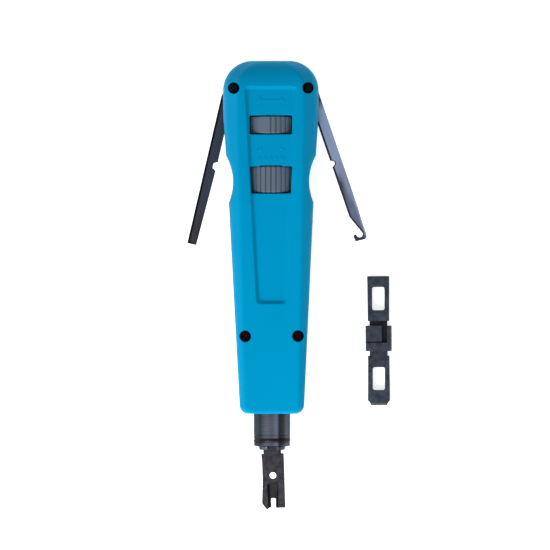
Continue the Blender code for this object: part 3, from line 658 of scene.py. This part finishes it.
def shell_cutters():
    """What is cut from both shells: the bores, the arms' slots, the kicker's pocket and the shanks."""
    made = [core_cutter(), slot_cutter(1, HOOK_SLOT_INSET), slot_cutter(-1, SPUDGER_SLOT_INSET)]
    pocket_y = (RELEASE_WINDOW[1] - 0.1, KICKER_POCKET_TOP)
    made.append(box("kicker_cutter", (-11.1, 11.1), pocket_y, (3.5, 17.5)))
    made.append(box("kicker_end_cutter", (-13.2, 13.2), pocket_y, (AXIS_Z - 1.3, AXIS_Z + 1.3)))
    for _, x, y in screw_places():
        made.append(disc("shank_cutter", 1.25, 4, 22, (x, y, 0), 32, "Z"))
    return made


def head_cutter(x, y, top):
    """A screw head's hole with its rim eased, below a face at the height top."""
    radius = SCREW_HOLE_RADIUS
    profile = [(0, SCREW_HEAD_TOP - 1.9), (radius, SCREW_HEAD_TOP - 1.9), (radius, top - 0.35)]
    profile += [(radius + 0.1, top - 0.12), (radius + 0.35, top), (radius + 0.8, top + 0.6), (0, top + 0.6)]
    return spun("head_cutter", profile, (x, y, 0), 56, "Z")


def make_shells(plastic):
    """The two halves of the handle."""
    stations = handle_stations()
    face = AXIS_Z + FRONT_DEPTH
    front = loft("handle_front", [shell_section(y, FRONT_DEPTH, 1) for y in stations])
    rear = loft("handle_rear", [shell_section(y, BACK_DEPTH, -1) for y in stations])
    cut(front, panel_cutter())
    fuse(front, *relief_marks())
    own = [window_cutter("force_window", *FORCE_WINDOW_CORNERS)]
    own.append(window_cutter("release_window", *RELEASE_WINDOW_CORNERS))
    for side in (-1, 1):
        x, y = side * TOP_SCREW[0], TOP_SCREW[1]
        own.append(disc("washer_cutter", 3.7, AXIS_Z + 0.85, AXIS_Z + 1.95, (x, y, 0), 48, "Z"))
        own.append(head_cutter(x, y, face + 1))
        own.append(head_cutter(side * LOW_SCREW[0], LOW_SCREW[1], face))
    cut(front, *own, *shell_cutters())
    cut(rear, *shell_cutters())
    for shell, node in ((front, "front_shell"), (rear, "rear_shell")):
        dress(shade(shell, 30), "handle", [plastic], node)


def make_screws(steel):
    """Pan-head case screws with a cross recess."""
    top = SCREW_HEAD_TOP
    for place, x, y in screw_places():
        profile = [(0, 5.0), (0.5, 5.0), (1.1, 6.2), (1.1, top - 1.8), (1.9, top - 1.8), (2.0, top - 1.7)]
        profile += [(2.0, top - 0.75), (1.93, top - 0.45), (1.75, top - 0.2), (1.45, top - 0.06), (1.1, top)]
        screw = spun(f"screw_{place}", [*profile, (0, top)], (x, y, 0), 48, "Z")
        for reach_x, reach_y in ((1.2, 0.24), (0.24, 1.2)):
            cross = [(-reach_x, -reach_y), (reach_x, -reach_y), (reach_x, reach_y), (-reach_x, reach_y)]
            cross = [(x + px, y + py) for px, py in cross]
            cut(screw, prism("recess_cutter", cross, top + 0.3, top - 0.85, 0.3))
        dress(shade(screw, 30), "handle", [steel], f"case_screw_{place}")


# Thumb wheels

def wheel_outline(shrink, pad=(0, 0)):
    """Wide rounded ridges with narrow grooves, but for a smooth pad between two angles in degrees."""
    outline = []
    groove = ((-0.17, 0.06), (-0.08, 0.34), (0.0, 0.45), (0.08, 0.34), (0.17, 0.06))
    ridge = ((0.32, 0.015), (0.5, 0.0), (0.68, 0.015))
    for i in range(WHEEL_RIDGES):
        for place, dip in groove + ridge:
            degrees = (i + place) * 360 / WHEEL_RIDGES
            smooth = pad[0] < (degrees + 180) % 360 - 180 < pad[1]
            radius = WHEEL_RADIUS - shrink - (0.0 if smooth else dip)
            angle = math.radians(degrees)
            outline.append((radius * math.sin(angle), AXIS_Z + radius * math.cos(angle)))
    return outline


def ridged_wheel(name, window, pad=(0, 0)):
    """A thumb wheel that fills its window but for a small gap, with eased rims."""
    low, high = window[0] + GAP, window[1] - GAP
    rims = ((low, 0.9), (low, 0.5), (low + 0.12, 0.2), (low + 0.4, 0.0))
    rims += ((high - 0.4, 0.0), (high - 0.12, 0.2), (high, 0.5), (high, 0.9))
    return loft(name, [[(x, y, z) for x, z in wheel_outline(shrink, pad)] for y, shrink in rims])


def make_wheels(plastic):
    """The upper wheel with its screw, and the lower one with its off-centre pin."""
    force = ridged_wheel("force_thumb_wheel", FORCE_WINDOW, (-36, -7))
    fuse(force, disc("hub", 4.5, FORCE_WINDOW[1] - 1, FORCE_WINDOW[1]))
    fuse(force, disc("force_screw", 2.4, 4.2, 50.6))
    dress(shade(force, 28), "force_adjuster", [plastic], "force_wheel")
    release = ridged_wheel("release_thumb_wheel", RELEASE_WINDOW)
    fuse(release, disc("release_pin", 1.0, 25, 30.5, (0, 0, AXIS_Z - 6), 24))
    cut(release, disc("release_bore_cutter", 2.75, 10, 32))
    dress(shade(release, 28), "release", [plastic], "release_wheel")


# Nose

def nose_painted_reflections():
    """Lengthwise bands of painted reflection on the nose: lighter and darker stretches across X."""
    axis, across = (0, 0, 0), (1, 0, 0)
    # Painted reflections: each band is a colour over a stretch across X.
    reflection_bands = [((0.085, 0.092, 0.115), (-4.7, -3.2, 1.4, 2.9))]
    reflection_bands.append(((0.15, 0.17, 0.25), (0.2, 1.5, 2.0, 2.7)))
    reflection_bands.append(((0.07, 0.077, 0.083), (3.2, 4.8, 6.0, 7.0)))
    return [(tint, (axis, across, places)) for tint, places in reflection_bands]


def make_barrel(steel):
    """The sliding sleeve with its inner flange, a fine line near its end, and the ring's groove."""
    full = BARREL_RADIUS
    profile = [(5.4, -80.7), (6.0, -80.7), (6.0, -79.6), (full - 0.2, -79.6), (full - 0.2, -78.2)]
    profile += [(full, -78.05), (full, -77.2), (full - 0.13, -77.1), (full - 0.13, -76.9), (full, -76.8)]
    profile += [(full, -59.6), (7.6, -59.6), (7.6, -56.6), (full, -56.6), (full, -47.0)]
    profile += [(2.7, -47.0), (2.7, -51.0), (0, -51.0), (0, -53.5), (5.4, -53.5)]
    barrel = spun("nose_sleeve", profile, steps=128)
    dress(shade(barrel), "plunger", [steel], "nose_barrel")


def make_ring(steel):
    """The dark ring, which sits a little askew in the groove."""
    full = BARREL_RADIUS
    section = [(full - 0.18, -0.6), (full, -0.58), (full + 0.09, -0.4), (full + 0.11, 0.0)]
    section += [(full + 0.09, 0.4), (full, 0.58), (full - 0.18, 0.6)]
    ring = spun("groove_ring", section, (0, 0, 0), 96)
    placed(ring, RING_PLACE, RING_LEAN)
    dress(shade(ring), "plunger", [steel], "nose_ring")


def make_collar(steel):
    """The coned end, slotted for the blade."""
    full = BARREL_RADIUS
    collar = [(6.15, -79.65), (full - 0.15, -79.65), (full - 0.05, -79.75), (full - 0.05, -80.85)]
    collar += [(6.85, -81.0), (6.4, -81.1), (5.5, -81.25), (5.2, -81.4), (4.85, -82.45)]
    collar += [(4.65, NOSE_END), (4.3, NOSE_END), (4.15, -82.45), (4.15, -80.95), (6.15, -80.95)]
    end = spun("nose_cone", collar, steps=128)
    cut(end, box("collar_slot_cutter", (-1.95, 1.95), (-84, -80.95), (AXIS_Z - 5.4, AXIS_Z + 5.4)))
    dress(shade(end), "plunger", [steel], "nose_collar")


# Arms

def along_arm(side, angle):
    """An arm's pivot, and the directions along it and across it as it stands in the rest pose."""
    pivot = (side * TOP_SCREW[0], TOP_SCREW[1], AXIS_Z)
    return pivot, (math.sin(angle), -math.cos(angle), 0.0), (math.cos(angle), math.sin(angle), 0.0)


def spudger_outline():
    """A flat bar with a square tip and a nick on its inner edge. Its outer edge is at -X."""
    outer, inner, tip_inner = SPUDGER_OUTER, SPUDGER_INNER, -0.35
    nick_top, nick_low, nick_depth = -29.2, -32.7, 1.5
    outline = [(-3.3, -1), (outer, -4), (outer, -ARM_LENGTH), (tip_inner, -ARM_LENGTH), (0.35, -36)]
    outline += [(inner - 0.1, nick_low), (inner - nick_depth, nick_low + 0.8)]
    outline += [(inner - nick_depth, nick_top - 0.8), (inner, nick_top), (inner, -4.5), (1.8, -1)]
    return outline


def hook_outline():
    """A flat bar that narrows to a small hook turned back towards the handle. Its outer edge is at +X."""
    outline = [(-2.2, -1), (HOOK_INNER, -4.5), *HOOK_NICK, (HOOK_INNER, -52.5), (1.75, -59.7)]
    outline += arc((0.62, -60.1), 1.2, 18, -156, 16)
    outline += [(-0.75, -59.8), (-1.2, -59.5), (-1.9, -59.95), (-1.75, -62.25), (2.1, -62.6)]
    outline += [(2.85, -62.0), (3.15, -61.2), (3.15, -55), (HOOK_OUTER, -50), (HOOK_OUTER, -1)]
    return outline


def hook_bands():
    """The dark root of the hook, and the bright and darkened stretches towards its end."""
    pivot, down, across = along_arm(1, HOOK_ANGLE)
    inner_side = (pivot, across, (-9, -8, 0.3, 1.8))
    hook_side = (pivot, across, (-9, -8, 1.5, 2.7))
    outer_side = (pivot, across, (2.0, 3.1, 8, 9))
    # Darker near the root, where the arm leaves the handle.
    bands = [((0.03, 0.027, 0.032), (pivot, down, (-9, -8, 6.0, 9.5)))]
    bands.append(((0.2, 0.22, 0.34), (pivot, down, (30, 36, 80, 90))))
    bands.append(((0.045, 0.042, 0.04), (pivot, down, (34, 39, 47, 54)), inner_side))
    bands.append(((0.09, 0.12, 0.19), (pivot, down, (43, 48, 80, 90))))
    bands.append(((0.022, 0.027, 0.045), (pivot, down, (57.5, 60, 80, 90)), hook_side))
    bands.append(((0.3, 0.33, 0.44), (pivot, down, (42, 48, 60, 63)), outer_side))
    return bands


def ground_edge(start, end, width, depth):
    """The cutter of a ground slope along the top of an edge from start to end. The steel is on its left."""
    top = ARM_HALF_THICKNESS
    way = (Vector(end) - Vector(start)).normalized()
    inward = Vector((-way.y, way.x)) * width
    overrun = way * SLOPE_OVERRUN
    rings = []
    for point in (Vector(start) - overrun, Vector(end) + overrun):
        inner, outer = point + inward, point - inward
        rings.append([(*inner, top), (*inner, top + 1), (*outer, top + 1), (*outer, top - 2 * depth)])
    return loft("slope_cutter", rings)


def make_arm(node, body, outline, side, angle, slopes, materials):
    """An arm about its pivot, with a round eye, softened edges and darker ground slopes."""
    top = ARM_HALF_THICKNESS
    arm = prism(f"{node}_bar", outline, -top, top)
    fuse(arm, disc("eye", ARM_EYE_RADIUS, -top, top, (0, 0, 0), 64, "Z"))
    cut(arm, disc("bore_cutter", ARM_BORE_RADIUS, -2, 2, (0, 0, 0), 64, "Z"))
    soften(arm, 0.09, 2, 40)
    cut(arm, *slopes)
    paint(arm, 1, lambda normal, centre: centre.z < top - 0.12)
    placed(arm, along_arm(side, angle)[0], angle)
    dress(shade(arm), body, materials, node)


def make_spudger():
    """The left arm, rubbed brown towards its tip, with slopes along its outer edge and its tip."""
    pivot, down, _ = along_arm(-1, SPUDGER_ANGLE)
    rubbed = [((0.037, 0.032, 0.034), (pivot, down, (49, 55, 59, 66)))]
    spudger = brushed_steel("spudger_steel", (0.036, 0.043, 0.062), SPUDGER_ANGLE, bands=rubbed)
    edge = brushed_steel("spudger_edge_steel", (0.006, 0.007, 0.01), SPUDGER_ANGLE)
    side = ground_edge((SPUDGER_OUTER, -5), (SPUDGER_OUTER, -64), 0.85, 0.5)
    tip = ground_edge((-5, -ARM_LENGTH), (1, -ARM_LENGTH), 0.8, 0.4)
    make_arm("spudger", "spudger_arm", spudger_outline(), -1, SPUDGER_ANGLE, [side, tip], [spudger, edge])


def make_hook():
    """The right arm, with slopes along its inner edge, its nick and its hook."""
    hook = brushed_steel("hook_steel", (0.23, 0.3, 0.44), HOOK_ANGLE, bands=hook_bands())
    edge = brushed_steel("hook_edge_steel", (0.022, 0.024, 0.034), HOOK_ANGLE)
    bends = [(HOOK_INNER, -5), *HOOK_NICK, (HOOK_INNER, -52.7)]
    widths = (0.8, 0.4, 0.4, 0.4, 0.8)
    slopes = [ground_edge(a, b, width, 0.4) for a, b, width in zip(bends, bends[1:], widths)]
    slopes.append(ground_edge((-1.1, -52.1), (1.95, -60.2), 0.7, 0.4))
    slopes.append(ground_edge((-2.0, -62.2), (2.3, -62.65), 0.45, 0.4))
    make_arm("hook", "hook_arm", hook_outline(), 1, HOOK_ANGLE, slopes, [hook, edge])


# Blades

def hub(low, high):
    """The round hub with two flats that turns into the nose."""
    flat = math.degrees(math.asin(HUB_HALF_THICKNESS / HUB_RADIUS))
    outline = arc((0, 0), HUB_RADIUS, -flat, flat, 16)
    outline += arc((0, 0), HUB_RADIUS, 180 - flat, 180 + flat, 16)
    return prism("hub", outline, low, high, along="Y")


def half_blade(near, tip, window=None):
    """One flat half of a blade, from its neck at near to the end whose outline is tip."""
    half = BLADE_HALF_THICKNESS
    step = NECK_LENGTH if tip[0][1] < near else -NECK_LENGTH
    outline = [(-NECK_HALF_WIDTH, near + step), (-NECK_HALF_WIDTH, near), (-BLADE_HALF_WIDTH, near)]
    outline += tip
    outline += [(BLADE_HALF_WIDTH, near), (NECK_HALF_WIDTH, near), (NECK_HALF_WIDTH, near + step)]
    made = prism("half_blade", outline, -half, half)
    if window:
        cut(made, prism("window_cutter", window, -4, 4))
    return made


def fork_tip():
    """The outline of the fitted blade's forked end, with the cutter's point on its left tine."""
    corner = 0.5
    inner = FORK_HALF_WIDTH - corner
    tip = [(-x, y) for x, y in FITTED_LEFT]
    tip += [(-3.8, -24.2), (-2.6, FITTED_END - 0.5), (-1.6, FITTED_END + 0.2)]
    tip.append((-FORK_HALF_WIDTH, FITTED_END + 0.2))
    tip += arc((-inner, FORK_ROOT - corner), corner, 180, 90, 6)
    tip += arc((inner, FORK_ROOT - corner), corner, 90, 0, 6)
    tip += [(FORK_HALF_WIDTH, FITTED_END + 0.1), *FITTED_RIGHT]
    return tip


def channel_cutters():
    """The channel that leads a wire into the fork, and the deeper slot of the cutter beside it."""
    half = BLADE_HALF_THICKNESS
    sections = ((-15.2, -0.05, -2.2, 1.8), (-16.2, 0.35, -2.2, 1.8))
    sections += ((-21.4, 1.0, -1.6, 1.3), (-27.0, 1.0, -1.6, 1.3))
    rings = []
    for y, depth, left, right in sections:
        floor, above = half - depth, half + 0.6
        rings.append([(left, y, floor), (right, y, floor), (right + 0.9, y, above), (left - 0.3, y, above)])
    slot = [(-2.25, -15.9), (-1.25, -15.9), (-0.95, -27), (-2.0, -27)]
    return loft("channel_cutter", rings), prism("slot_cutter", slot, half - 2.4, half + 1)


def blade_body(hub_ys, necks, *halves):
    """The hub and the necks, joined to the blade's halves."""
    half = BLADE_HALF_THICKNESS
    blade = hub(*hub_ys)
    neck = box("neck", (-NECK_HALF_WIDTH, NECK_HALF_WIDTH), necks, (-half, half))
    return fuse(blade, neck, *halves)


def make_fitted_blade(materials):
    """The blade in the nose, with its forked end outside and a plain end inside."""
    hole = arc((0.05, -12.5), 1.3, 0, 352.5, 47)
    outer = half_blade(FITTED_TOP, fork_tip(), hole)
    inner_start = FITTED_HUB[1] + NECK_LENGTH
    wide = BLADE_HALF_WIDTH
    inner = half_blade(inner_start, [(-wide, FITTED_INNER_END), (wide, FITTED_INNER_END)])
    blade = blade_body(FITTED_HUB, (FITTED_TOP - 1, inner_start + 1), outer, inner)
    cut(blade, *channel_cutters())
    finish_blade(blade, "fitted_bit", FITTED_PLACE, FITTED_TURN, "fitted_blade", materials, "blade")


def make_spare_blade(materials):
    """The loose blade, with a window in each half and a stepped hub."""
    low, high = SPARE_HUB
    top_start, low_start = high + NECK_LENGTH, low - NECK_LENGTH
    wide, half = SPARE_TIP_HALF_WIDTH, BLADE_HALF_THICKNESS
    low_tip = [(-wide, 1.9 - SPARE_END), (-3.4, 0.8 - SPARE_END), (-3.1, -SPARE_END)]
    low_tip += [(-x, y) for x, y in reversed(low_tip)]
    windows = []
    for across, bottom, top in ((2.4, 11.85, 20.85), (2.35, -19.15, -10.3)):
        corners = [(-across, bottom), (across, bottom), (across, top), (-across, top)]
        windows.append(eased_loop(corners, 0.9, 6))
    upper = half_blade(top_start, [(-wide, SPARE_END), (wide, SPARE_END)], windows[0])
    lower = half_blade(low_start, low_tip, windows[1])
    blade = blade_body(SPARE_HUB, (low_start - 1, top_start + 1), upper, lower)
    top = HUB_HALF_THICKNESS
    step = box("step_cutter", (-6, 3.3), (-0.8, high + 1), (top - 0.45, top + 1))
    groove = box("groove_cutter", (1.25, 3.3), (-0.8, high + NECK_LENGTH), (top - 2.1, top + 1))
    line = box("line_cutter", (-6, 3.3), (-0.8, -0.35), (top - 1.3, top + 1))
    neck = box("neck_cutter", (-6, 6), (high, high + NECK_LENGTH), (half - 0.7, half + 1))
    slope = [(0.95 - SPARE_END, half), (-1 - SPARE_END, half), (-1 - SPARE_END, half - 1.5)]
    bevel = prism("bevel_cutter", slope, -6, 6, along="X")
    cut(blade, step, groove, line, neck, bevel)
    finish_blade(blade, "spare_bit", SPARE_PLACE, SPARE_TURN, "spare", materials, "spare_blade")


def finish_blade(blade, name, place, turn, body, materials, node):
    """Softens a blade, paints shade into its recesses as a darker colour, and gives it its bare bevel."""
    blade.name = name
    soften(blade, 0.1, 2, 35)
    # Painted shade: up-facing faces sunk below the blade's top take the darker recess colour.
    paint(blade, 1, lambda normal, centre: normal.z > 0.3 and centre.z < BLADE_HALF_THICKNESS - 0.15)
    paint(blade, 2, lambda normal, centre: normal.z > 0.3 and normal.y < -0.5 and centre.y < 1 - SPARE_END)
    placed(blade, place, turn)
    dress(shade(blade), body, materials, node)


def make_blades():
    """Both blades, each in its own oxide, with the same painted shade for recesses and the same finish for
    bare ends.
    """
    # Painted shade for the recesses, made with the oxide recipe.
    recess = black_oxide("blade_recess_painted_shade", (0.014, 0.013, 0.016), (0.4, 0.6))
    ground = black_oxide("ground_end", (0.085, 0.078, 0.066), (0.3, 0.5), (0.0, 0.3))
    fitted = black_oxide("fitted_blade_steel", (0.032, 0.031, 0.038), (0.38, 0.62), (0.0, 0.95))
    make_fitted_blade([fitted, recess, ground])
    spare = black_oxide("spare_blade_steel", (0.036, 0.046, 0.062), (0.34, 0.55))
    make_spare_blade([spare, recess, ground])


# Whole tool

def finish_hidden(materials):
    """Gives every CAD node that is still shown the material of its slot in the record."""
    slots = {part["node"]: part["material_slot"] for part in frame["record"]["subparts"]}
    for name, obj in frame["nodes"].items():
        if obj.hide_render:
            continue
        obj.data.materials.clear()
        obj.data.materials.append(materials[slots[name]])


def make_tool():
    """Every piece that shows, and the finish of those inside."""
    make_shells(moulded_plastic("blue_moulding", (0.0, 0.212, 0.4), 0.1))
    make_screws(black_oxide("black_screw", (0.006, 0.006, 0.008), (0.35, 0.55)))
    # The last colour is painted shade for the wheels' gaps and grooves.
    grey = moulded_plastic("grey_moulding", (0.08, 0.104, 0.136), 0.35, (0.01, 0.012, 0.015))
    make_wheels(grey)
    # The nose's colour carries painted reflection bands.
    nose = turned_steel("nose_steel", (0.029, 0.037, 0.043), (0.24, 0.36), nose_painted_reflections())
    make_barrel(nose)
    make_collar(nose)
    make_ring(black_oxide("ring_steel", (0.012, 0.012, 0.016), (0.25, 0.4)))
    make_spudger()
    make_hook()
    make_blades()
    steel = turned_steel("bright_steel", (0.5, 0.5, 0.52))
    spring = turned_steel("spring_wire", (0.33, 0.33, 0.36))
    brass = turned_steel("plain_brass", (0.6, 0.42, 0.16))
    finish_hidden({"steel": steel, "spring_steel": spring, "brass": brass, "grey_plastic": grey})


# Stage

def make_floor():
    """A wide, plain, pale floor just under the tool."""
    half = 4000
    floor = box("floor", (-half, half), (-half, half), (-20, -0.02))
    made = Finish("pale_floor", specular=0.1)
    tone = made.mix(made.span(made.noise(3, 3.0), 0, 1), (0.86, 0.86, 0.86), (0.89, 0.89, 0.89))
    made.put(made.shader, "Emission Color", (1.0, 1.0, 1.0, 1.0))
    made.put(made.shader, "Emission Strength", 0.62)
    floor.data.materials.append(made.done(tone, 0.8))


def area_light(name, place, aim, size, power, colour=(1, 1, 1)):
    """A square soft light at a place in metres."""
    lamp = bpy.data.lights.new(name, "AREA")
    lamp.shape = "SQUARE"
    lamp.size = size
    lamp.energy = power
    lamp.color = colour
    obj = bpy.data.objects.new(name, lamp)
    obj.location = place
    obj.rotation_euler = (Vector(aim) - Vector(place)).to_track_quat("-Z", "Y").to_euler()
    obj.visible_camera = False
    bpy.context.scene.collection.objects.link(obj)


def make_lights():
    """A pale world that is brightest above the lower left, and a soft lamp there."""
    world = bpy.data.worlds.new("studio")
    world.use_nodes = True
    nodes, links = world.node_tree.nodes, world.node_tree.links
    facing = nodes.new("ShaderNodeVectorMath")
    facing.operation = "DOT_PRODUCT"
    facing.inputs[1].default_value = Vector((-0.4, -0.6, 0.65)).normalized()
    links.new(nodes.new("ShaderNodeTexCoord").outputs["Generated"], facing.inputs[0])
    strength = nodes.new("ShaderNodeMapRange")
    for key, value in (("From Min", -1.0), ("From Max", 1.0), ("To Min", 0.1), ("To Max", 1.12)):
        strength.inputs[key].default_value = value
    links.new(facing.outputs["Value"], strength.inputs["Value"])
    background = nodes["Background"]
    background.inputs["Color"].default_value = (1.0, 1.0, 1.0, 1.0)
    links.new(strength.outputs["Result"], background.inputs["Strength"])
    bpy.context.scene.world = world
    area_light("key", (-0.15, -0.31, 0.28), (0, -0.03, 0.01), 0.3, 2.0)


def make_camera():
    """A long lens straight above, with X to the right and Y up."""
    lens, sensor = 900, 36
    view_width = 213.4 * MM
    camera = bpy.data.cameras.new("camera")
    camera.lens = lens
    camera.sensor_width = sensor
    camera.clip_end = 20
    obj = bpy.data.objects.new("camera", camera)
    height = AXIS_Z * MM + view_width * lens / sensor
    obj.location = (1.39 * MM, -14.74 * MM, height)
    obj.rotation_euler.z = math.radians(-0.2)
    bpy.context.scene.collection.objects.link(obj)
    bpy.context.scene.camera = obj
    bpy.context.scene.view_settings.view_transform = "Standard"


make_tool()
make_floor()
make_lights()
make_camera()
